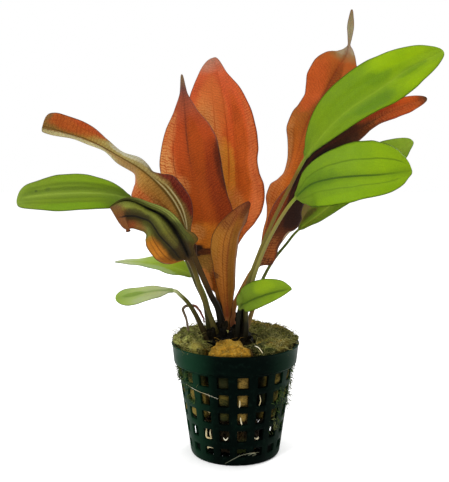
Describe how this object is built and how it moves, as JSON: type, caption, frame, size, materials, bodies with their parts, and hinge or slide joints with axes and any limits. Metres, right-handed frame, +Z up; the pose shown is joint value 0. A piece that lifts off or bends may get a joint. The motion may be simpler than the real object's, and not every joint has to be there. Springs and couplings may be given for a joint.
{
  "type": "potted amazon sword plant",
  "caption": "Aquarium sword plant with lance-shaped green and red leaves on long stalks, rooted in mineral wool in a round plastic net pot that stands on its flat base.",
  "frame": {"origin": "centre of the pot's flat underside, on the surface it stands on", "axes": "+Z up along the pot's axis, +X to the right and -Y to the front of the plant"},
  "size_m": [0.1525, 0.0713, 0.1753],
  "materials": {
    "pot": "moulded plastic, black-green, semi-gloss",
    "wool": "wet mineral wool, olive, fibrous",
    "wool_ochre": "mineral wool, ochre, fibrous",
    "crown": "wet rootstock, near black, rough",
    "roots": "fine brown and pale roots",
    "red_leaf": "leaf, orange-red to brown, soft sheen, netted veins",
    "green_leaf": "leaf, lime green, soft sheen, lengthwise veins",
    "runner": "dry old runner, grey-brown and pink"
  },
  "bodies": {
    "root": {"net_pot": "pot", "wool_wrap": "wool", "wool_wedge": "wool_ochre", "crown": "crown", "root_ball": "roots", "old_runner": "runner", "leaf_tall_back": "red_leaf", "leaf_long_pointed": "red_leaf", "leaf_young_folded": "red_leaf", "leaf_twisted_left": "red_leaf", "leaf_striped_drooping": "green_leaf", "leaf_green_left": "green_leaf", "leaf_rear_left": "green_leaf", "leaf_low_left": "green_leaf", "leaf_tall_wavy": "red_leaf", "leaf_large_green": "green_leaf", "leaf_red_right": "red_leaf", "leaf_oval_green": "green_leaf", "leaf_rear_right": "green_leaf", "leaf_small_front": "green_leaf"}
  },
  "joints": []
}
